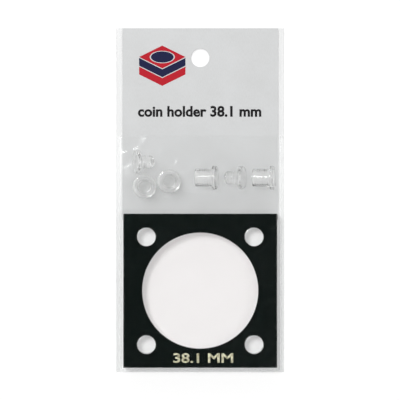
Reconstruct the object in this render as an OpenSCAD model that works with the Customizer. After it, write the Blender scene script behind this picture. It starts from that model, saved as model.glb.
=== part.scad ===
// Coin holder kit in its hang pouch: a black coin plate between two clear covers,
// four screw posts with their screws and a header card, lying on the pouch's back.
// +Z faces the viewer, +Y points to the header, lengths are in millimetres.

/* [Plates] */
// Side of the square plates
plate_w = 50.8; // [45:0.1:65]
// Thickness of each clear cover
cover_t = 1.5; // [1:0.1:3]
// Thickness of the coin plate
coin_plate_t = 3; // [2:0.1:5]
// Diameter of the coin
coin_d = 38.1; // [20:0.1:41]
// Radial room round the coin
coin_gap = 0.12; // [0.05:0.01:0.3]
// Diameter of the corner holes
corner_hole_d = 6.1; // [5.5:0.05:7]
// Wall between the coin hole and a corner hole
coin_web = 2.9; // [1.5:0.1:4]
// Chamfer on the edges of plates and holes
edge_break = 0.15; // [0.1:0.05:0.4]
// Room between two stacked plates
stack_gap = 0.05; // [0.02:0.01:0.1]

/* [Screw posts] */
// Diameter of the heads
head_d = 7.8; // [7.2:0.1:8.6]
// Thickness of the heads
head_t = 1.4; // [1.1:0.1:2]
// Radius of a head's rounded rim
head_round = 0.4; // [0.1:0.05:0.5]
// Radial play of a post in its corner hole
hole_play = 0.125; // [0.05:0.005:0.25]
// Wall of a post's barrel
barrel_wall = 0.65; // [0.5:0.05:0.9]
// Radial play of a screw's thread in its post
thread_play = 0.08; // [0.03:0.01:0.1]
// Depth of the screws' thread below its crest
thread_depth = 0.25; // [0.1:0.05:0.4]
// How far a barrel stops short of the stack, so that the heads clamp it
clamp_gap = 0.3; // [0.1:0.05:0.5]
// Room between a screw's tip and the floor of its post
tip_gap = 0.7; // [0.2:0.1:1.5]
// Length of the plain collar under a screw's head
collar_l = 0.5; // [0.2:0.1:1]
// Width of the driver slots
slot_w = 1.1; // [0.8:0.1:1.5]
// Depth of the driver slots
slot_depth = 0.6; // [0.3:0.1:0.8]
// Share of the head's diameter that a slot crosses
slot_share = 0.74; // [0.5:0.02:0.9]

/* [Loose posts in the pouch] */
// Share of the row's free room that is left of the first post
lead_share = 0.43; // [0.1:0.01:0.5]
// Share of the row's free room between the standing and the lying posts
break_share = 0.42; // [0.1:0.01:0.44]
// Room between standing neighbours
lane_gap = 0.3; // [0.3:0.05:1]
// Room between lying neighbours
lying_gap = 1.4; // [0.4:0.1:1.8]
// Distance from the plates to the row's centre line
row_rise = 11.9; // [9:0.1:14]
// How far the first standing post is below the row
first_drop = 2.9; // [0:0.1:4]
// How far the second standing post is below the row
second_drop = 1.2; // [0:0.1:3]
// How far the spare screw reaches left of the first post
spare_shift = 1.9; // [1.6:0.1:2.2]
// Turn of the slot in the first standing screw
first_turn = -12; // [-90:1:90]
// Turn of the slot in the second standing screw
second_turn = 65; // [-90:1:90]

/* [Pouch] */
// Thickness of the film
film_t = 0.2; // [0.1:0.05:0.4]
// Room between the film and what it covers
film_gap = 0.3; // [0.3:0.05:1]
// Width of the welded seams
weld_w = 1; // [0.8:0.1:4]
// How far the film's walls lean in between the seams and the plates' top
wall_lean = 0.4; // [0.1:0.05:0.5]
// Length of the pocket above the plates, up to its mouth
post_room = 25.6; // [24:0.1:40]
// Length of the header above the mouth
header_l = 36; // [24:0.5:60]
// Width of the bevel along the pocket's two shoulders
shoulder = 1.2; // [0.4:0.1:2]
// Length over which the roof rises from the plates to the posts
ramp_run = 4.5; // [3:0.1:6]

/* [Header card] */
// Thickness of the card
card_t = 0.3; // [0.2:0.05:0.5]
// How far the card is wider than the plates on each side
card_over = 0.5; // [0:0.1:2]
// Room beside the card
card_side_gap = 0.8; // [0.4:0.05:1.2]
// How far the card reaches under the plates
card_under = 2; // [0.5:0.1:3]
// Diameter of the hang hole
hang_hole_d = 6.1; // [5:0.1:8]
// Distance from the header's top edge to the centre of the hang hole
hang_hole_drop = 9.85; // [7:0.05:14]
// Room between the card's face and what slides over it
slide_gap = 0.1; // [0.05:0.01:0.3]

/* [Hidden] */
$fn = 72;
over = 1;
stack_t = 2 * cover_t + coin_plate_t + 2 * stack_gap;
recess_d = coin_d + 2 * coin_gap;
corner_x = (recess_d / 2 + coin_web + corner_hole_d / 2) * cos(45);
head_r = head_d / 2;
barrel_d = corner_hole_d - 2 * hole_play;
barrel_l = 2 * cover_t + coin_plate_t - clamp_gap;
bore_d = barrel_d - 2 * barrel_wall;
thread_d = bore_d - 2 * thread_play;
core_d = thread_d - 2 * thread_depth;
shank_l = barrel_l - tip_gap;
pair_h = 2 * head_t + barrel_l + stack_gap;
card_w = plate_w + 2 * card_over;
inner_w = card_w + 2 * card_side_gap;
pouch_w = inner_w + 2 * film_t + 2 * weld_w;
foot_room = weld_w + film_t + wall_lean + film_gap;
pouch_l = foot_room + plate_w + post_room + header_l;
foot_y = -pouch_l / 2;
plate_y = foot_y + foot_room + plate_w / 2;
plate_top_y = plate_y + plate_w / 2;
mouth_y = plate_top_y + post_room;
hang_hole_y = pouch_l / 2 - hang_hole_drop;
card_l = header_l + post_room + card_under;
card_top = film_t + card_t;
floor_z = card_top + slide_gap;
roof_low = floor_z + stack_t + film_gap;
roof_high = max(roof_low, floor_z + max(pair_h, head_d) + film_gap);

// A lying piece rests on its head's rim and on its tip's rim
function lean(r, l) = atan((head_r - r) / l);
function tip_reach(r, l) = l * cos(lean(r, l)) + r * sin(lean(r, l));
function head_reach(r, l) = head_t * cos(lean(r, l)) + head_r * sin(lean(r, l));

post_tip = tip_reach(barrel_d / 2, barrel_l);
post_head = head_reach(barrel_d / 2, barrel_l);
screw_tip = tip_reach(thread_d / 2, shank_l);
screw_head = head_reach(thread_d / 2, shank_l);

row_room = inner_w - 2 * head_d - lane_gap - 2 * (post_tip + post_head)
  - screw_tip - screw_head - 2 * lying_gap;
row_y = plate_top_y + row_rise;
first_x = -inner_w / 2 + row_room * lead_share + head_r;
first_y = row_y - first_drop;
second_x = first_x + head_d + lane_gap;
second_y = row_y - second_drop;
third_x = second_x + head_r + row_room * break_share + post_tip;
third_screw_x = third_x + post_head + lying_gap + screw_tip;
fourth_x = third_screw_x + screw_head + lying_gap + post_tip;
spare_x = first_x - spare_shift;
spare_y = first_y + head_d + lane_gap;

film_colour = [0.88, 0.90, 0.91, 0.3];
card_colour = [0.80, 0.81, 0.81];
clear_colour = [0.92, 0.95, 0.96, 0.35];
black_colour = [0.02, 0.02, 0.02];

// Square plate with chamfered edges and four chamfered corner holes
module drilled_plate(t) {
  difference() {
    hull() {
      translate([-plate_w / 2, -plate_w / 2, edge_break])
        cube([plate_w, plate_w, t - 2 * edge_break]);
      translate([edge_break - plate_w / 2, edge_break - plate_w / 2, 0])
        cube([plate_w - 2 * edge_break, plate_w - 2 * edge_break, t]);
    }
    for (x = [-corner_x, corner_x], y = [-corner_x, corner_x])
      translate([x, y, 0])
        broken_hole(corner_hole_d / 2, t);
  }
}

// Through hole with a chamfer at both faces
module broken_hole(r, t) {
  translate([0, 0, -over])
    cylinder(r = r, h = t + 2 * over);
  translate([0, 0, -over])
    cylinder(r1 = r + edge_break + over, r2 = r, h = edge_break + over);
  translate([0, 0, t - edge_break])
    cylinder(r1 = r, r2 = r + edge_break + over, h = edge_break + over);
}

// Head of a post or screw: its outer face at z = 0, with a rounded rim and a driver slot
module slotted_head() {
  difference() {
    rotate_extrude()
      polygon(concat(
        [[0, 0]],
        [for (a = [-90:15:0])
          [head_r - head_round + head_round * cos(a), head_round + head_round * sin(a)]],
        [[head_r, head_t - edge_break], [head_r - edge_break, head_t], [0, head_t]]
      ));
    intersection() {
      translate([-head_r, -slot_w / 2, -over])
        cube([head_d, slot_w, slot_depth + over]);
      translate([0, 0, -over])
        cylinder(r = head_r * slot_share, h = slot_depth + 2 * over);
    }
  }
}

// Post standing on its head, open end up
module post() {
  difference() {
    union() {
      slotted_head();
      translate([0, 0, head_t])
        cylinder(d = barrel_d, h = barrel_l - edge_break);
      translate([0, 0, head_t + barrel_l - edge_break])
        cylinder(r1 = barrel_d / 2, r2 = barrel_d / 2 - edge_break, h = edge_break);
    }
    translate([0, 0, head_t])
      cylinder(d = bore_d, h = barrel_l + over);
    translate([0, 0, head_t + barrel_l - edge_break])
      cylinder(r1 = bore_d / 2, r2 = bore_d / 2 + edge_break + over, h = edge_break + over);
  }
}

// Screw standing on its head, tip up: the core of its thread between a collar and a bevelled tip
module screw() {
  slotted_head();
  translate([0, 0, head_t])
    cylinder(d = thread_d, h = collar_l);
  translate([0, 0, head_t])
    cylinder(d = core_d, h = shank_l - 2 * edge_break);
  translate([0, 0, head_t + shank_l - 2 * edge_break])
    cylinder(r1 = core_d / 2, r2 = core_d / 2 - 2 * edge_break, h = 2 * edge_break);
}

// Lays a standing piece down with its head to the right, resting on both rims
module lying(x, y, r, l, turn = 0) {
  translate([x, y, floor_z + head_r * cos(lean(r, l))])
    rotate([0, 0, turn])
      rotate([0, -lean(r, l), 0])
        translate([head_t, 0, 0])
          rotate([0, -90, 0])
            children();
}

// Turns a screw head up and threads it home in the standing post below it
module threaded_home(x, y, turn) {
  translate([x, y, floor_z + pair_h])
    rotate([180, 0, turn])
      children();
}

// Side outline of the pocket: low over the plates, then a ramp up to the posts and the mouth
module pocket_side(grow, end) {
  translate([-pouch_w / 2, 0, 0])
    rotate([90, 0, 90])
      linear_extrude(height = pouch_w)
        polygon([
          [foot_y + weld_w + film_t - grow, film_t],
          [foot_y + weld_w + film_t + wall_lean - grow, roof_low + grow],
          [plate_top_y - ramp_run / 3, roof_low + grow],
          [plate_top_y + ramp_run * 2 / 3, roof_high + grow],
          [mouth_y + end, roof_high + grow],
          [mouth_y + end, film_t]
        ]);
}

// End outline of the pocket: leaning walls, then bevelled shoulders beside the posts
module pocket_end(grow) {
  half = inner_w / 2 + grow;
  half_top = half - wall_lean;
  translate([0, pouch_l, 0])
    rotate([90, 0, 0])
      linear_extrude(height = 2 * pouch_l)
        polygon([
          [-half, film_t], [half, film_t], [half_top, roof_low + grow],
          [half_top - shoulder, roof_high + grow], [shoulder - half_top, roof_high + grow],
          [-half_top, roof_low + grow]
        ]);
}

module pocket(grow, end) {
  intersection() {
    pocket_side(grow, end);
    pocket_end(grow);
  }
}

module pouch_back() {
  color(film_colour)
    difference() {
      translate([-pouch_w / 2, foot_y, 0])
        cube([pouch_w, pouch_l, film_t]);
      translate([0, hang_hole_y, -over])
        cylinder(d = hang_hole_d, h = film_t + 2 * over);
    }
}

// Film over the contents, welded flat along both sides and the foot, open at the mouth
module pouch_front() {
  color(film_colour)
    difference() {
      union() {
        translate([-pouch_w / 2, foot_y, film_t])
          cube([pouch_w, mouth_y - foot_y, film_t]);
        pocket(film_t, 0);
      }
      pocket(0, over);
      translate([-inner_w / 2, foot_y + weld_w + film_t, 0])
        cube([inner_w, pouch_l, 2 * film_t]);
    }
}

module header_card() {
  color(card_colour)
    difference() {
      translate([-card_w / 2, pouch_l / 2 - card_l, film_t])
        cube([card_w, card_l, card_t]);
      translate([0, hang_hole_y, 0])
        cylinder(d = hang_hole_d, h = card_top + over);
    }
}

module back_cover() {
  color(clear_colour)
    translate([0, plate_y, floor_z])
      drilled_plate(cover_t);
}

module coin_plate() {
  color(black_colour)
    translate([0, plate_y, floor_z + cover_t + stack_gap])
      difference() {
        drilled_plate(coin_plate_t);
        broken_hole(recess_d / 2, coin_plate_t);
      }
}

module front_cover() {
  color(clear_colour)
    translate([0, plate_y, floor_z + stack_t - cover_t])
      drilled_plate(cover_t);
}

module post_1() {
  color(clear_colour)
    translate([first_x, first_y, floor_z])
      post();
}

module screw_1() {
  color(clear_colour)
    threaded_home(first_x, first_y, first_turn)
      screw();
}

module post_2() {
  color(clear_colour)
    translate([second_x, second_y, floor_z])
      post();
}

module screw_2() {
  color(clear_colour)
    threaded_home(second_x, second_y, second_turn)
      screw();
}

module post_3() {
  color(clear_colour)
    lying(third_x, row_y, barrel_d / 2, barrel_l)
      post();
}

module screw_3() {
  color(clear_colour)
    lying(third_screw_x, row_y, thread_d / 2, shank_l)
      screw();
}

module post_4() {
  color(clear_colour)
    lying(fourth_x, row_y, barrel_d / 2, barrel_l)
      post();
}

module screw_4() {
  color(clear_colour)
    lying(spare_x, spare_y, thread_d / 2, shank_l, 180)
      screw();
}

pouch_back();
pouch_front();
header_card();
back_cover();
coin_plate();
front_cover();
post_1();
screw_1();
post_2();
screw_2();
post_3();
screw_3();
post_4();
screw_4();
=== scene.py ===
import bpy
import bmesh
import numpy as np
from mathutils import Matrix, Vector


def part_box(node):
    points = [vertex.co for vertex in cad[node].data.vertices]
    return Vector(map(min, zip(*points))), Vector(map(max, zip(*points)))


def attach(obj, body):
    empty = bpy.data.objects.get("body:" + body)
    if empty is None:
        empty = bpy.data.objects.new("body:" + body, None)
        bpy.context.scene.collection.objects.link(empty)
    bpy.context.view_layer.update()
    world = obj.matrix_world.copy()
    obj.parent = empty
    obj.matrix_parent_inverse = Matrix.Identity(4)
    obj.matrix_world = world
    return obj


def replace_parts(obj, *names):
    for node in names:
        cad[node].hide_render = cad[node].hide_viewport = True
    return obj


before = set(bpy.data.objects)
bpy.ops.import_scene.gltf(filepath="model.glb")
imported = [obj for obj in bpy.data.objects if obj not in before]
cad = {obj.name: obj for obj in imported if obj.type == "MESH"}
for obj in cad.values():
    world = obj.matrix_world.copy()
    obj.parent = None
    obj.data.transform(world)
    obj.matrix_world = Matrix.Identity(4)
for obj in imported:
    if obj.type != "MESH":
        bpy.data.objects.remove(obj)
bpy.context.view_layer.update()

mm = 0.001  # the shapes below are worked out in millimetres
near = 1e-6  # lengths in millimetres that differ by less are the same
scene = bpy.context.scene
scene.view_settings.view_transform = "Standard"
print("frame loaded:", len(cad), "nodes")


def nodeBox(name):
    # the lowest and the highest corner of a CAD node, in millimetres
    low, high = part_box(name)
    return np.array(low) / mm, np.array(high) / mm


def gridFaces(rows, cols, closed=False):
    # quads between neighbouring rows and columns; closed joins the last column to the first
    index = np.arange(rows * cols).reshape(rows, cols)
    if closed:
        index = np.concatenate([index, index[:, :1]], axis=1)
    corners = (index[:-1, :-1], index[:-1, 1:], index[1:, 1:], index[1:, :-1])
    return np.stack(corners, axis=-1).reshape(-1, 4)


def newMesh(name, points, faces):
    mesh = bpy.data.meshes.new(name)
    mesh.from_pydata((np.asarray(points).reshape(-1, 3) * mm).tolist(), [], [list(f) for f in faces])
    mesh.update()
    return mesh


def meshPoints(mesh):
    co = np.empty(len(mesh.vertices) * 3)
    mesh.vertices.foreach_get("co", co)
    return co.reshape(-1, 3)


def closeUp(mesh, distance=1e-7):
    # merges poles and seams, then turns all faces outwards
    bm = bmesh.new()
    bm.from_mesh(mesh)
    bmesh.ops.remove_doubles(bm, verts=bm.verts, dist=distance)
    bmesh.ops.dissolve_degenerate(bm, edges=bm.edges, dist=distance)
    bmesh.ops.recalc_face_normals(bm, faces=bm.faces)
    bm.to_mesh(mesh)
    bm.free()


def smoothBy(mesh, degrees):
    # smooth shading, with edges sharper than this kept sharp
    mesh.polygons.foreach_set("use_smooth", np.ones(len(mesh.polygons), bool))
    mesh.set_sharp_from_angle(angle=np.radians(degrees))


def meshOf(thing):
    # the finished mesh of an object that isn't kept
    made = bpy.data.meshes.new_from_object(thing.evaluated_get(bpy.context.evaluated_depsgraph_get()))
    bpy.data.objects.remove(thing)
    return made


def addObject(name, data):
    thing = bpy.data.objects.new(name, data)
    scene.collection.objects.link(thing)
    return thing


def addPiece(name, mesh, material, body):
    piece = addObject(name, mesh)
    mesh.materials.clear()
    mesh.materials.append(material)
    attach(piece, body)
    return piece


def thicken(piece, thickness, edge=None):
    # gives a sheet its thickness upwards, with another finish on its cut edge if one is named
    shell = piece.modifiers.new("thickness", "SOLIDIFY")
    shell.thickness = thickness * mm
    shell.offset = 1.0
    shell.use_even_offset = True
    if edge:
        piece.data.materials.append(edge)
        shell.material_offset_rim = 1


# materials: in the looks below a noise is (waves per mm, detail) and a relief (depth in mm, strength)

noiseRough = 0.55  # how much the finer steps of every noise show


def startMaterial(name):
    material = bpy.data.materials.new(name)
    material.use_nodes = True
    tree = material.node_tree
    tree.nodes.clear()
    output = tree.nodes.new("ShaderNodeOutputMaterial")
    where = tree.nodes.new("ShaderNodeTexCoord").outputs["Object"]
    return material, tree, output.inputs["Surface"], where


def feed(tree, socket, value):
    # links another node's output, or sets a fixed value
    if isinstance(value, bpy.types.NodeSocket):
        tree.links.new(value, socket)
    elif socket.type == "RGBA":
        socket.default_value = (*value, 1.0)
    else:
        socket.default_value = value


def feedFrom(tree, node, first, *values):
    # feeds sockets that follow one another, since some share a name
    for k, value in enumerate(values):
        feed(tree, node.inputs[first + k], value)


def addNode(tree, kind, settings=None, **inputs):
    # inputs go by their names, with underscores for spaces
    node = tree.nodes.new(kind)
    for key, value in (settings or {}).items():
        setattr(node, key, value)
    for key, value in inputs.items():
        feed(tree, node.inputs[key.replace("_", " ")], value)
    return node


def noise(tree, where, perMm, detail):
    return addNode(tree, "ShaderNodeTexNoise", Vector=where, Scale=perMm / mm, Detail=detail,
                   Roughness=noiseRough).outputs["Fac"]


def stretch(tree, where, scale):
    return addNode(tree, "ShaderNodeMapping", Vector=where, Scale=scale).outputs[0]


def remap(tree, value, low, high, fromLow=0.3, fromHigh=0.7):
    node = addNode(tree, "ShaderNodeMapRange", {"clamp": True})
    feedFrom(tree, node, 0, value, fromLow, fromHigh, low, high)
    return node.outputs[0]


def shareOf(tree, value, fromLow, fromHigh):
    return remap(tree, value, 0.0, 1.0, fromLow, fromHigh)


def maths(tree, operation, a, b):
    node = addNode(tree, "ShaderNodeMath", {"operation": operation})
    feedFrom(tree, node, 0, a, b)
    return node.outputs[0]


def blendColour(tree, share, first, second):
    node = addNode(tree, "ShaderNodeMix", {"data_type": "RGBA"})
    feed(tree, node.inputs[0], share)
    feedFrom(tree, node, 6, first, second)  # the colour pair comes after the number and vector pairs
    return node.outputs[2]


def bump(tree, height, depth, strength):
    return addNode(tree, "ShaderNodeBump", Height=height, Distance=depth * mm,
                   Strength=strength).outputs["Normal"]


def mixShaders(tree, share, first, second):
    node = addNode(tree, "ShaderNodeMixShader")
    feedFrom(tree, node, 0, share, first, second)
    return node.outputs[0]


def letLampsThrough(tree, surface, shader, tint):
    # rays to the lamps pass straight through, so what lies under a clear piece isn't dark
    through = addNode(tree, "ShaderNodeBsdfTransparent", Color=tint).outputs[0]
    shadow = addNode(tree, "ShaderNodeLightPath").outputs["Is Shadow Ray"]
    feed(tree, surface, mixShaders(tree, shadow, shader, through))


# polish is how much of a glossy skin a clear plastic has
sheetLook = dict(tint=(0.977, 0.963, 0.963), lamp=(0.985, 0.985, 0.985), index=1.45, clear=1.0,
                 polish=0.0, polishRough=0.03,
                 smudge=(0.25, 6.0), roughness=(0.01, 0.05), wave=(0.6, 3.0), ripple=(0.0004, 0.6))
postLook = dict(tint=(0.986, 0.987, 0.986), lamp=(0.944, 0.945, 0.944), index=1.27, clear=0.9,
                polish=0.0, polishRough=0.03,
                smudge=(0.25, 6.0), roughness=(0.05, 0.13), wave=(0.6, 3.0), ripple=(0.004, 0.6))
screwLook = dict(postLook, polish=0.9, polishRough=0.06)


def clearPlastic(name, look):
    # clear plastic that bends light, with smudges in its polish and a slow ripple in its faces
    material, tree, surface, where = startMaterial(name)
    body = addNode(tree, "ShaderNodeBsdfPrincipled", Base_Color=look["tint"], IOR=look["index"],
                   Transmission_Weight=look["clear"], Coat_Weight=look["polish"],
                   Coat_Roughness=look["polishRough"],
                   Roughness=remap(tree, noise(tree, where, *look["smudge"]), *look["roughness"]),
                   Normal=bump(tree, noise(tree, where, *look["wave"]), *look["ripple"]))
    letLampsThrough(tree, surface, body.outputs[0], look["lamp"])
    return material


blackLook = dict(colour=(0.0005, 0.0036, 0.0028), dust=(0.0020, 0.0045, 0.0038),
                 speck=(3.5, 2.0), speckShare=(0.68, 0.78), smudge=(0.4, 5.0), roughness=(0.06, 0.14),
                 grain=(2.0, 3.0), relief=(0.0006, 0.5))


def blackSheet():
    # polished black sheet with fine dust and a faint cast grain
    material, tree, surface, where = startMaterial("blackSheet")
    dust = shareOf(tree, noise(tree, where, *blackLook["speck"]), *blackLook["speckShare"])
    body = addNode(tree, "ShaderNodeBsdfPrincipled",
                   Base_Color=blendColour(tree, dust, blackLook["colour"], blackLook["dust"]),
                   Roughness=remap(tree, noise(tree, where, *blackLook["smudge"]), *blackLook["roughness"]),
                   Normal=bump(tree, noise(tree, where, *blackLook["grain"]), *blackLook["relief"]))
    feed(tree, surface, body.outputs[0])
    return material


# seam and foot say where the welds begin, in mm from the middle; smear is drawn out by smearScale
filmLook = dict(tint=(0.994, 0.995, 0.994), cloud=(0.988, 0.989, 0.988), lamp=(0.997, 0.997, 0.997),
                mirror=(0.95, 0.96, 0.96), shine=0.007, edgeShine=0.35, glanceBlend=0.35, glancePower=3.0,
                haze=(0.12, 5.0), roughness=(0.07, 0.16), wave=(0.35, 1.0), crinkle=(0.03, 0.5),
                smear=(0.16, 3.0), smearScale=(0.5, 1.0, 1.0), smearShare=(0.45, 0.75),
                seam=26.0, foot=-56.1, seamShine=0.02, seamRough=0.2,
                frontSeam=(0.996, 0.998, 0.998), backSeam=(0.905, 0.907, 0.907))


def clearFilm(name, seamTint):
    # thin film: most light goes straight through, a little is mirrored, more of it at a glancing angle
    material, tree, surface, where = startMaterial(name)
    x, y = addNode(tree, "ShaderNodeSeparateXYZ", Vector=where).outputs[:2]
    side = maths(tree, "GREATER_THAN", maths(tree, "ABSOLUTE", x, 0.0), filmLook["seam"] * mm)
    foot = maths(tree, "LESS_THAN", y, filmLook["foot"] * mm)
    seam = maths(tree, "MAXIMUM", side, foot)
    facing = addNode(tree, "ShaderNodeLayerWeight", Blend=filmLook["glanceBlend"]).outputs["Facing"]
    glance = maths(tree, "MULTIPLY", maths(tree, "POWER", facing, filmLook["glancePower"]),
                   filmLook["edgeShine"])
    share = maths(tree, "ADD", maths(tree, "ADD", glance, filmLook["shine"]),
                  maths(tree, "MULTIPLY", seam, filmLook["seamShine"]))
    rough = maths(tree, "ADD", remap(tree, noise(tree, where, *filmLook["haze"]), *filmLook["roughness"]),
                  maths(tree, "MULTIPLY", seam, filmLook["seamRough"]))
    mirror = addNode(tree, "ShaderNodeBsdfPrincipled", Base_Color=filmLook["mirror"], Metallic=1.0,
                     Roughness=rough,
                     Normal=bump(tree, noise(tree, where, *filmLook["wave"]), *filmLook["crinkle"]))
    drawnOut = stretch(tree, where, filmLook["smearScale"])
    smear = shareOf(tree, noise(tree, drawnOut, *filmLook["smear"]), *filmLook["smearShare"])
    tint = blendColour(tree, smear, filmLook["tint"], filmLook["cloud"])
    through = addNode(tree, "ShaderNodeBsdfTransparent", Color=blendColour(tree, seam, tint, seamTint))
    film = mixShaders(tree, share, through.outputs[0], mirror.outputs[0])
    letLampsThrough(tree, surface, film, filmLook["lamp"])
    return material


edgeLook = dict(colour=(0.86, 0.88, 0.88), tint=(0.97, 0.97, 0.97), grain=(2.0, 3.0), roughness=(0.25, 0.5),
                relief=(0.01, 0.5), milky=(0.35, 0.6))


def cutFilm():
    # the cut edge of film, whiter and rougher than its faces
    material, tree, surface, where = startMaterial("filmEdge")
    grain = noise(tree, where, *edgeLook["grain"])
    body = addNode(tree, "ShaderNodeBsdfPrincipled", Base_Color=edgeLook["colour"],
                   Roughness=remap(tree, grain, *edgeLook["roughness"]),
                   Normal=bump(tree, grain, *edgeLook["relief"]))
    through = addNode(tree, "ShaderNodeBsdfTransparent", Color=edgeLook["tint"])
    milky = mixShaders(tree, remap(tree, grain, *edgeLook["milky"]), through.outputs[0], body.outputs[0])
    letLampsThrough(tree, surface, milky, filmLook["lamp"])
    return material


cardLook = dict(colour=(0.622, 0.630, 0.633), fleck=(0.584, 0.590, 0.590), fleckShare=(0.42, 0.62),
                fibre=(4.0, 5.0), fibreScale=(1.0, 0.25, 1.0), fibrePart=0.5,
                cloud=(0.08, 3.0), cloudPart=0.5, roughness=(0.55, 0.7), tooth=(0.006, 0.6))


def paperCard():
    # uncoated card: long soft fibres, a fine tooth and cloudy tone
    material, tree, surface, where = startMaterial("paperCard")
    fibre = noise(tree, stretch(tree, where, cardLook["fibreScale"]), *cardLook["fibre"])
    cloud = noise(tree, where, *cardLook["cloud"])
    tone = maths(tree, "ADD", maths(tree, "MULTIPLY", fibre, cardLook["fibrePart"]),
                 maths(tree, "MULTIPLY", cloud, cardLook["cloudPart"]))
    fleck = shareOf(tree, tone, *cardLook["fleckShare"])
    body = addNode(tree, "ShaderNodeBsdfPrincipled",
                   Base_Color=blendColour(tree, fleck, cardLook["colour"], cardLook["fleck"]),
                   Roughness=remap(tree, fibre, *cardLook["roughness"]),
                   Normal=bump(tree, fibre, *cardLook["tooth"]))
    feed(tree, surface, body.outputs[0])
    return material


# each ink has its full colour and the colour where it is thin
inkLook = dict(red=((0.46, 0.008, 0.020), (0.50, 0.025, 0.035)),
               navy=((0.006, 0.009, 0.050), (0.015, 0.020, 0.075)),
               black=((0.004, 0.004, 0.005), (0.02, 0.02, 0.02)),
               grain=(5.0, 4.0), thinShare=(0.55, 0.8), gloss=0.15, roughness=(0.5, 0.7),
               relief=(0.003, 0.4))


def printInk(name, colour, thin):
    # ink that lets a little of the card's grain show
    material, tree, surface, where = startMaterial(name)
    grain = noise(tree, where, *inkLook["grain"])
    body = addNode(tree, "ShaderNodeBsdfPrincipled", Specular_IOR_Level=inkLook["gloss"],
                   Base_Color=blendColour(tree, shareOf(tree, grain, *inkLook["thinShare"]), colour, thin),
                   Roughness=remap(tree, grain, *inkLook["roughness"]),
                   Normal=bump(tree, grain, *inkLook["relief"]))
    feed(tree, surface, body.outputs[0])
    return material


foilLook = dict(bright=(0.69, 0.68, 0.49), worn=(0.29, 0.28, 0.17), metal=0.35, patch=(1.2, 4.0),
                brightShare=(0.36, 0.62), roughness=(0.3, 0.5), relief=(0.01, 0.6))


def goldFoil():
    # hot-stamped foil: uneven pressure leaves bright and worn patches
    material, tree, surface, where = startMaterial("goldFoil")
    patch = noise(tree, where, *foilLook["patch"])
    bright = shareOf(tree, patch, *foilLook["brightShare"])
    body = addNode(tree, "ShaderNodeBsdfPrincipled", Metallic=foilLook["metal"],
                   Base_Color=blendColour(tree, bright, foilLook["worn"], foilLook["bright"]),
                   Roughness=remap(tree, patch, *foilLook["roughness"]),
                   Normal=bump(tree, patch, *foilLook["relief"]))
    feed(tree, surface, body.outputs[0])
    return material


clearSheet = clearPlastic("clearSheet", sheetLook)
clearPost = clearPlastic("clearPost", postLook)
clearScrew = clearPlastic("clearScrew", screwLook)
frontFilmLook = clearFilm("frontFilm", filmLook["frontSeam"])
backFilmLook = clearFilm("backFilm", filmLook["backSeam"])
filmEdge = cutFilm()
redInk = printInk("redInk", *inkLook["red"])
navyInk = printInk("navyInk", *inkLook["navy"])
blackInk = printInk("blackInk", *inkLook["black"])
gold = goldFoil()
cadLooks = {"coin_plate": blackSheet(), "front_cover": clearSheet, "back_cover": clearSheet,
            "header_card": paperCard()}
for name, look in cadLooks.items():
    cad[name].data.materials.clear()
    cad[name].data.materials.append(look)
print("materials made")

# screw posts and screws, each made along z with its head's outer face at the bottom

postSizes = dict(headR=3.9, headT=1.4, headRound=0.4, edge=0.15, neck=0.1, sides=96, smooth=32,
                 barrelR=2.925, barrelL=5.7, boreR=2.275, boreLead=0.05,
                 threadR=2.195, coreR=1.945, shankL=5.0, collarL=0.5, collarEnd=(0.08, 0.05),
                 tip=0.5, tipStart=(0.05, 0.08), tipFlat=0.8,
                 pitch=0.8, groove=0.16, ridgeSteep=1.9, ridgeRoot=0.45, ridgeFade=0.4, threadRings=64,
                 slotW=1.1, slotDepth=0.6, slotR=2.886, slotFrom=-1.0)


def arc(cx, cy, r, start, end, steps):
    a = np.radians(np.linspace(start, end, steps))
    return np.stack([cx + r * np.cos(a), cy + r * np.sin(a)], axis=-1)


def line(a, b, steps):
    return np.linspace(a, b, steps)


def thread(z, angle, low, high, p):
    # one start: a triangle wave that climbs a pitch a turn, cut flat at root and crest, faded at both ends
    wave = 1 - np.abs(2 * np.mod(z / p["pitch"] - angle / (2 * np.pi), 1.0) - 1)
    ridge = np.clip(p["ridgeSteep"] * wave - p["ridgeRoot"], 0, 1)
    fade = np.clip((z - low) / p["ridgeFade"], 0, 1) * np.clip((high - z) / p["ridgeFade"], 0, 1)
    return ridge * fade


def headProfile(p):
    # radius and height from the middle of the outer face, round the rim, to the underside
    flatR = p["headR"] - p["headRound"]
    return [line((0, 0), (flatR, 0), 8)[:-1], arc(flatR, p["headRound"], p["headRound"], -90, 0, 9),
            arc(p["headR"] - p["edge"], p["headT"] - p["edge"], p["edge"], 0, 90, 5)]


def revolve(name, profile, ridge, p):
    # a profile turned about z, its radius changed by ridge(height, angle)
    angle = np.linspace(0, 2 * np.pi, p["sides"], endpoint=False)
    r, z = profile[:, :1], profile[:, 1:]
    radius = np.where(r < near, 0.0, r + ridge(z, angle[None, :]))
    points = np.stack([radius * np.cos(angle), radius * np.sin(angle), z + 0 * radius], axis=-1)
    mesh = newMesh(name, points, gridFaces(len(profile), len(angle), True))
    closeUp(mesh, 2e-7)
    return mesh


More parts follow.
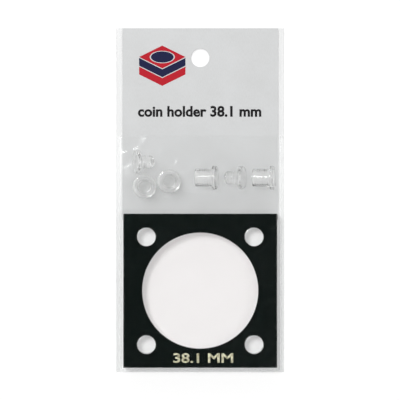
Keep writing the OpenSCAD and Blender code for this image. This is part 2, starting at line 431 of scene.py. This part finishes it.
def cutSlot(mesh, p):
    # a driver slot with round ends, from outside the head down to the slot's floor
    reach = np.degrees(np.arcsin(p["slotW"] / 2 / p["slotR"]))
    outline = np.concatenate([arc(0, 0, p["slotR"], turn - reach, turn + reach, 7) for turn in (0, 180)])
    count = len(outline)
    layers = [np.column_stack([outline, np.full(count, z)]) for z in (p["slotFrom"], p["slotDepth"])]
    step = np.arange(count)
    ahead = (step + 1) % count
    sides = np.stack([step, ahead, ahead + count, step + count], axis=-1)
    faces = [list(step[::-1]), list(step + count)] + sides.tolist()
    cutter = newMesh("slotCutter", np.concatenate(layers), faces)
    closeUp(cutter)
    blank, knife = addObject("blank", mesh), addObject("knife", cutter)
    cut = blank.modifiers.new("slot", "BOOLEAN")
    cut.operation, cut.solver, cut.object = "DIFFERENCE", "EXACT", knife
    made = meshOf(blank)
    bpy.data.objects.remove(knife)
    closeUp(made)  # the cut can leave points on top of one another
    smoothBy(made, p["smooth"])
    return made


def postMesh(p):
    # head, barrel, rounded tip and threaded bore down to the head
    low, top = p["headT"] + p["neck"], p["headT"] + p["barrelL"]
    mouth = top - p["edge"]
    profile = np.concatenate(headProfile(p) + [
        line((p["barrelR"] + p["edge"], p["headT"]), (p["barrelR"], p["headT"] + p["edge"]), 3),
        line((p["barrelR"], p["headT"] + 4 * p["edge"]), (p["barrelR"], mouth), 6),
        arc(p["barrelR"] - p["edge"], mouth, p["edge"], 15, 90, 5),
        line((p["boreR"] + p["edge"], top), (p["boreR"], mouth), 3),
        line((p["boreR"], mouth - p["boreLead"]), (p["boreR"], low), p["threadRings"] + 2),
        line((p["boreR"], p["headT"]), (0, p["headT"]), 6)])

    def ridge(z, angle):
        bore = np.abs(profile[:, :1] - p["boreR"]) < near
        return np.where(bore, p["groove"] * thread(z, angle, low, mouth, p), 0.0)

    return cutSlot(revolve("post", profile, ridge, p), p)


def screwMesh(p):
    # head, plain collar, threaded shank and bevelled tip
    low, top = p["headT"] + p["collarL"], p["headT"] + p["shankL"] - p["tip"]
    end = top + p["tip"]
    profile = np.concatenate(headProfile(p) + [
        line((p["threadR"] + p["neck"], p["headT"]), (p["threadR"], p["headT"] + p["neck"]), 3),
        line((p["threadR"], low - p["collarEnd"][0]), (p["coreR"], low + p["collarEnd"][1]), 4),
        line((p["coreR"], low + p["neck"]), (p["coreR"], top), p["threadRings"]),
        line((p["coreR"] - p["tipStart"][0], top + p["tipStart"][1]), (p["coreR"] - p["tip"], end), 4),
        line((p["coreR"] - p["tipFlat"], end), (0, end), 4)])

    def ridge(z, angle):
        shank = (np.abs(profile[:, :1] - p["coreR"]) < near) & (z > low)
        turns = thread(z, angle, low + p["collarEnd"][1], top, p)
        return np.where(shank, (p["threadR"] - p["coreR"]) * turns, 0.0)

    return cutSlot(revolve("screw", profile, ridge, p), p)


def laid(r, l):
    # lies along x on the rims of its head and its tip
    lean = np.arctan2(postSizes["headR"] - r, l)
    return Matrix.Rotation(-lean, 4, "Y") @ Matrix.Rotation(-np.pi / 2, 4, "Y")


def upended(turn):
    # head up, tip down, its slot turned
    return Matrix.Rotation(np.radians(turn), 4, "Z") @ Matrix.Rotation(np.pi, 4, "X")


postShape, screwShape = postMesh(postSizes), screwMesh(postSizes)
standing = Matrix.Identity(4)
lyingPost = laid(postSizes["barrelR"], postSizes["barrelL"])
lyingScrew = laid(postSizes["threadR"], postSizes["shankL"])
slotTurns = dict(first=-12, second=65)
kit = {
    "post_1": (postShape, clearPost, standing),
    "screw_1": (screwShape, clearScrew, upended(slotTurns["first"])),
    "post_2": (postShape, clearPost, standing),
    "screw_2": (screwShape, clearScrew, upended(slotTurns["second"])),
    "post_3": (postShape, clearPost, lyingPost),
    "screw_3": (screwShape, clearScrew, lyingScrew),
    "post_4": (postShape, clearPost, lyingPost),
    "screw_4": (screwShape, clearScrew, Matrix.Rotation(np.pi, 4, "Z") @ lyingScrew),
}


def placeOn(node, shape, look, turned):
    # a turned copy whose box has its middle where the node's box has it
    mesh = shape.copy()
    mesh.transform(turned)
    co = meshPoints(mesh)
    low, high = nodeBox(node)
    mesh.transform(Matrix.Translation((low + high) / 2 * mm - (co.min(0) + co.max(0)) / 2))
    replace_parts(addPiece(node + "_clear", mesh, look, node), node)


for node, (shape, look, turned) in kit.items():
    placeOn(node, shape, look, turned)
print("posts and screws made")

# pouch

# ease and footEase are the film's fall per mm away from a post, to the sides and mouth and to the plates
pouch = dict(seamW=1.0, wallRun=0.65, clear=0.22, overCover=0.1, filmT=0.09, smooth=60,
             ease=0.09, footEase=0.45, grip=0.5, bend=0.06, soft=10.0, nearRoof=7.0,
             crease=0.10, plateCrease=0.03, fold=0.045, heldFrom=3.0, heldRun=5.0,
             creaseSlow=(0.31, -0.27), creaseBend=0.8, foldSlow=(0.2, 0.33), foldBend=0.7, foldSharp=6,
             seamSteps=4, wallSteps=14, acrossSteps=110, alongSteps=150)
# each wave is (radians per mm along x, along y, start), bent by a slow one
creaseWaves = ((0.9, 0.35, 0.4), (-0.55, 0.8, 1.7), (0.25, 1.15, 2.9), (1.3, -0.45, 4.1))
foldWaves = ((0.42, 0.20, 0.3), (-0.30, 0.46, 1.1), (0.12, 0.55, 2.2))
uprights = (("post_1", "screw_1"), ("post_2", "screw_2"),
            ("post_3",), ("screw_3",), ("post_4",), ("screw_4",))  # what holds the film up
pouchLow, pouchHigh = nodeBox("pouch_front")
coverHigh = nodeBox("front_cover")[1]


def steps(*stretches):
    # joined stretches of numbers, each (from, to, how many)
    parts = [np.linspace(a, b, n, endpoint=False) for a, b, n in stretches[:-1]]
    return np.concatenate(parts + [np.linspace(*stretches[-1])])


def climb(distance):
    # 0 on the seam, an S-shaped climb over the wall's run, 1 on top
    share = np.clip((distance - pouch["seamW"]) / pouch["wallRun"], 0, 1)
    return 0.5 - 0.5 * np.cos(np.pi * share)


def creases(x, y):
    # from -1 to 1: crossing waves, each bent by a slower one, so that none repeats within the pouch
    slow = pouch["creaseSlow"][0] * x + pouch["creaseSlow"][1] * y
    total = sum(np.sin(a * x + b * y + c + pouch["creaseBend"] * np.sin(slow + c)) for a, b, c in creaseWaves)
    return np.clip(total / len(creaseWaves), -1, 1)


def folds(x, y):
    # narrow ridges where bent slow waves cross zero, as film takes between the things that hold it up
    bend = pouch["foldBend"] * np.sin(pouch["foldSlow"][0] * x + pouch["foldSlow"][1] * y)
    waves = [1 - np.abs(np.sin(a * x + b * y + c + bend)) for a, b, c in foldWaves]
    return sum(wave ** pouch["foldSharp"] for wave in waves)


def roofOver(x, y):
    # the film lies on the cover and is held up like a tent by each post: a soft maximum of their heights,
    # each falling slowly sideways and to the mouth, and faster to the plates
    heights = [np.full_like(x, coverHigh[2] + pouch["clear"] + pouch["overCover"])]
    for pieces in uprights:
        low = np.min([nodeBox(n)[0] for n in pieces], axis=0)
        high = np.max([nodeBox(n)[1] for n in pieces], axis=0)
        middle, half = (low + high) / 2, (high - low) / 2
        alongEase = np.where(y < middle[1], pouch["footEase"], pouch["ease"])
        beside = np.maximum(np.abs(x - middle[0]) - half[0] + pouch["grip"], 0) * pouch["ease"]
        along = np.maximum(np.abs(y - middle[1]) - half[1] + pouch["grip"], 0) * alongEase
        drop = np.sqrt(beside ** 2 + along ** 2 + pouch["bend"] ** 2) - pouch["bend"]
        heights.append(high[2] + pouch["clear"] - drop)
    powers = np.exp(pouch["soft"] * (np.array(heights) - pouch["nearRoof"]))
    roof = np.log(powers.sum(axis=0)) / pouch["soft"] + pouch["nearRoof"]
    held = np.clip((y - coverHigh[1] + pouch["heldFrom"]) / pouch["heldRun"], 0, 1)
    depth = pouch["plateCrease"] + (pouch["crease"] - pouch["plateCrease"]) * held
    return roof + depth * (1 + creases(x, y)) * 0.5 + pouch["fold"] * held * folds(x, y)


def addFilm(name, x, y, z, faces, material, node):
    mesh = newMesh(name, np.stack([x, y, z], axis=-1), faces)
    smoothBy(mesh, pouch["smooth"])
    piece = addPiece(name, mesh, material, "pouch")
    thicken(piece, pouch["filmT"], filmEdge)
    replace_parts(piece, node)
    return piece


def frontFilm():
    # height over a grid of x and y: seam, wall, then the roof, on both sides and at the foot
    wide, foot, mouth = pouchHigh[0], pouchLow[1], pouchHigh[1]
    seam, wall = pouch["seamW"], pouch["seamW"] + pouch["wallRun"]
    onSeam, onWall = pouch["seamSteps"], pouch["wallSteps"]
    xs = steps((-wide, seam - wide, onSeam), (seam - wide, wall - wide, onWall),
               (wall - wide, wide - wall, pouch["acrossSteps"]),
               (wide - wall, wide - seam, onWall), (wide - seam, wide, onSeam + 1))
    ys = steps((foot, foot + seam, onSeam), (foot + seam, foot + wall, onWall),
               (foot + wall, mouth, pouch["alongSteps"]))
    x, y = np.meshgrid(xs, ys)
    rise = climb(wide - np.abs(x)) * climb(y - foot)
    z = pouchLow[2] + (roofOver(x, y) - pouchLow[2]) * rise
    return addFilm("pouchFilmFront", x, y, z, gridFaces(*x.shape), frontFilmLook, "pouch_front")


backSheet = dict(holeX=0.0, holeY=47.3, holeR=3.05, rings=46, perSide=40, spread=1.3,
                 lie=0.03, wave=0.03, waveScale=0.6)


def backFilm():
    # rays from the hang hole to the sheet's outline, divided more closely towards the hole, with slow waves
    low, high = nodeBox("pouch_back")
    centre = np.array([backSheet["holeX"], backSheet["holeY"]])
    corners = np.array([[high[0], low[1]], [high[0], high[1]], [low[0], high[1]], [low[0], low[1]]])
    sides = zip(corners, np.roll(corners, -1, axis=0))
    edge = np.concatenate([np.linspace(a, b, backSheet["perSide"], endpoint=False) for a, b in sides])
    away = edge - centre
    rim = centre + away / np.hypot(*away.T)[:, None] * backSheet["holeR"]
    t = np.linspace(0, 1, backSheet["rings"])[:, None, None]
    x, y = np.moveaxis(rim + (edge - rim) * t ** backSheet["spread"], -1, 0)
    waves = creases(x * backSheet["waveScale"], y * backSheet["waveScale"])
    z = backSheet["lie"] + backSheet["wave"] * (1 + waves)
    return addFilm("pouchFilmBack", x, y, z, gridFaces(*x.shape, True)[:, ::-1], backFilmLook, "pouch_back")


front, back = frontFilm(), backFilm()
print("pouch films made")

# print on the card and stamp on the coin plate

# hole and coin are shares of the top plate
printSizes = dict(markX=-12.6, markY=47.6, plateW=15.4, plateH=7.6, hole=0.54, coin=0.49,
                  step=2.9, band=2.6, inkT=0.012, lift=0.004, sweep=96, edgePoints=41)
inkZ = nodeBox("header_card")[1][2] + printSizes["lift"]


def inkPatch(name, outline, faces, material):
    # a thin patch of ink, its points given from the mark's middle
    flat = outline + (printSizes["markX"], printSizes["markY"])
    mesh = newMesh(name, np.column_stack([flat, np.full(len(flat), inkZ)]), faces)
    thicken(addPiece(name, mesh, material, "pouch"), printSizes["inkT"])


def inkBand(name, inner, outer, material, closed):
    # the band between two outlines of as many points
    inkPatch(name, np.concatenate([inner, outer]), gridFaces(2, len(inner), closed)[:, ::-1], material)


def stackMark():
    # a plain stack seen at a slant: on top a rhombus |u| + |v| = 1 round an ellipse, swept by the same
    # angles, then two bands that follow its lower edges, each a step further down
    w, h = printSizes["plateW"] / 2, printSizes["plateH"] / 2
    angle = np.linspace(0, 2 * np.pi, printSizes["sweep"], endpoint=False)
    circle = np.stack([np.cos(angle), np.sin(angle)], axis=-1)
    rhombus = circle / np.abs(circle).sum(axis=-1, keepdims=True)
    ellipse = circle * (w, h)
    inkBand("stackMark_1", ellipse * printSizes["hole"], rhombus * (w, h), redInk, True)
    inkPatch("stackMark_4", ellipse * printSizes["coin"], [range(len(ellipse))], navyInk)
    x = np.linspace(-1, 1, printSizes["edgePoints"])
    for k, ink in ((1, navyInk), (2, redInk)):
        edge = np.stack([x * w, (np.abs(x) - 1) * h - k * printSizes["step"]], axis=-1)
        inkBand("stackMark_%d" % (k + 1), edge + (0, printSizes["band"]), edge, ink, False)


capHeight = 0.69  # of the built-in font at size 1
lineText = dict(words="coin holder 38.1 mm", height=3.3, width=41.0, weight=0.034, x=-0.2, baseline=27.9,
                thickness=0.012)
stampText = dict(words="38.1 MM", height=3.0, width=19.8, weight=0.022, x=1.0, baseline=-53.55,
                 thickness=0.02, lift=0.003)


def lettering(name, text, z, material, body):
    # plain figures as thin solids, made bolder by a bevel, stretched to a cap height and a width
    curve = bpy.data.curves.new(name, "FONT")
    curve.body, curve.size, curve.extrude, curve.resolution_u = text["words"], 1.0, 0.5, 3
    curve.bevel_depth, curve.bevel_resolution = text["weight"], 0
    mesh = meshOf(addObject(name + "Curve", curve))
    co = meshPoints(mesh)
    low, high = co.min(0), co.max(0)
    share = (co - low) / (high - low)
    placed = np.column_stack([(share[:, 0] - 0.5) * text["width"] + text["x"],
                              co[:, 1] * text["height"] / capHeight + text["baseline"],
                              z + share[:, 2] * text["thickness"]])
    mesh.vertices.foreach_set("co", (placed * mm).ravel())
    mesh.name = name
    closeUp(mesh)
    return addPiece(name, mesh, material, body)


stackMark()
lettering("sizeLine", lineText, inkZ, blackInk, "pouch")
stampZ = nodeBox("coin_plate")[1][2] + stampText["lift"]
lettering("sizeStamp", stampText, stampZ, gold, "coin_plate")
print("print and stamp made")

# floor, light and camera

# far: metres over which the floor's extra lift comes in; sky: heights between which the sky darkens
stageLook = dict(floor=(0.60, 0.60, 0.60), floorHalf=4000, floorZ=-0.02,
                 lift=0.41, farLift=0.6, far=(0.3, 1.2), glassLift=0.585,
                 horizon=0.7, zenith=0.035, sky=(0.15, 0.8), clearLayers=32)


def makeFloor():
    # pale paper; it reaches white where it is looked at, straight or through clear pieces, and keeps its
    # shadows; far off, where the lamps no longer reach, it is lifted more
    half = stageLook["floorHalf"]
    corners = np.array([(-1, -1), (1, -1), (1, 1), (-1, 1)]) * half
    points = np.column_stack([corners, np.full(4, stageLook["floorZ"])])
    floor = addObject("floor", newMesh("floor", points, [(0, 1, 2, 3)]))
    material, tree, surface, where = startMaterial("paleFloor")
    lit = addNode(tree, "ShaderNodeBsdfDiffuse", Color=stageLook["floor"])
    path = addNode(tree, "ShaderNodeLightPath").outputs
    bent = maths(tree, "MAXIMUM", path["Is Glossy Ray"], path["Is Transmission Ray"])
    distance = addNode(tree, "ShaderNodeVectorMath", {"operation": "LENGTH"}, Vector=where).outputs["Value"]
    seen = remap(tree, distance, stageLook["lift"], stageLook["lift"] + stageLook["farLift"],
                 *stageLook["far"])
    strength = maths(tree, "MAXIMUM", maths(tree, "MULTIPLY", path["Is Camera Ray"], seen),
                     maths(tree, "MULTIPLY", bent, stageLook["glassLift"]))
    lift = addNode(tree, "ShaderNodeEmission", Color=(1, 1, 1), Strength=strength)
    both = addNode(tree, "ShaderNodeAddShader")
    feedFrom(tree, both, 0, lit.outputs[0], lift.outputs[0])
    feed(tree, surface, both.outputs[0])
    floor.data.materials.append(material)


def makeWorld():
    # darker overhead, lighter towards the horizon, white where the camera looks past the floor
    world = bpy.data.worlds.new("studio")
    world.use_nodes = True
    tree = world.node_tree
    tree.nodes.clear()
    output = tree.nodes.new("ShaderNodeOutputWorld")
    towards = addNode(tree, "ShaderNodeTexCoord").outputs["Generated"]
    up = addNode(tree, "ShaderNodeSeparateXYZ", Vector=towards).outputs[2]
    level = remap(tree, up, stageLook["horizon"], stageLook["zenith"], *stageLook["sky"])
    seen = addNode(tree, "ShaderNodeLightPath").outputs["Is Camera Ray"]
    unseen = maths(tree, "SUBTRACT", 1.0, seen)
    strength = maths(tree, "ADD", maths(tree, "MULTIPLY", level, unseen), seen)
    light = addNode(tree, "ShaderNodeBackground", Color=(1, 1, 1), Strength=strength)
    feed(tree, output.inputs["Surface"], light.outputs[0])
    scene.world = world


# places and sizes in metres; the rim lamp stands low behind the hang hole
lamps = {
    "keyLamp": dict(place=(-0.60, 0.56, 1.85), size=0.6, watts=29.2),
    "fillLamp": dict(place=(0.80, -0.20, 1.9), size=1.2, watts=9.6),
    "rimLamp": dict(place=(-0.25, 1.75, 0.85), size=0.22, watts=3.0),
}


def softLamp(name, place, size, watts):
    # a square lamp that faces the middle
    data = bpy.data.lights.new(name, "AREA")
    data.shape, data.size, data.energy = "SQUARE", size, watts
    lamp = addObject(name, data)
    lamp.location = place
    lamp.rotation_euler = (-Vector(place)).to_track_quat("-Z", "Y").to_euler()


makeFloor()
makeWorld()
for name, lamp in lamps.items():
    softLamp(name, **lamp)
scene.cycles.transparent_max_bounces = stageLook["clearLayers"]  # clear pieces lie over one another
scene.cycles.caustics_refractive = False  # the lamps already shine through clear pieces

# from straight above: a picture so many pixels wide shows that many times mmPerPixel
view = dict(lens=200.0, sensor=36.0, pixels=400, mmPerPixel=0.3325, x=-0.07, y=0.08)
camera = bpy.data.cameras.new("camera")
camera.lens, camera.sensor_width = view["lens"], view["sensor"]
eye = addObject("camera", camera)
eyeZ = view["pixels"] * view["mmPerPixel"] / view["sensor"] * view["lens"]
eye.location = (view["x"] * mm, view["y"] * mm, eyeZ * mm)
scene.camera = eye
print("stage set")
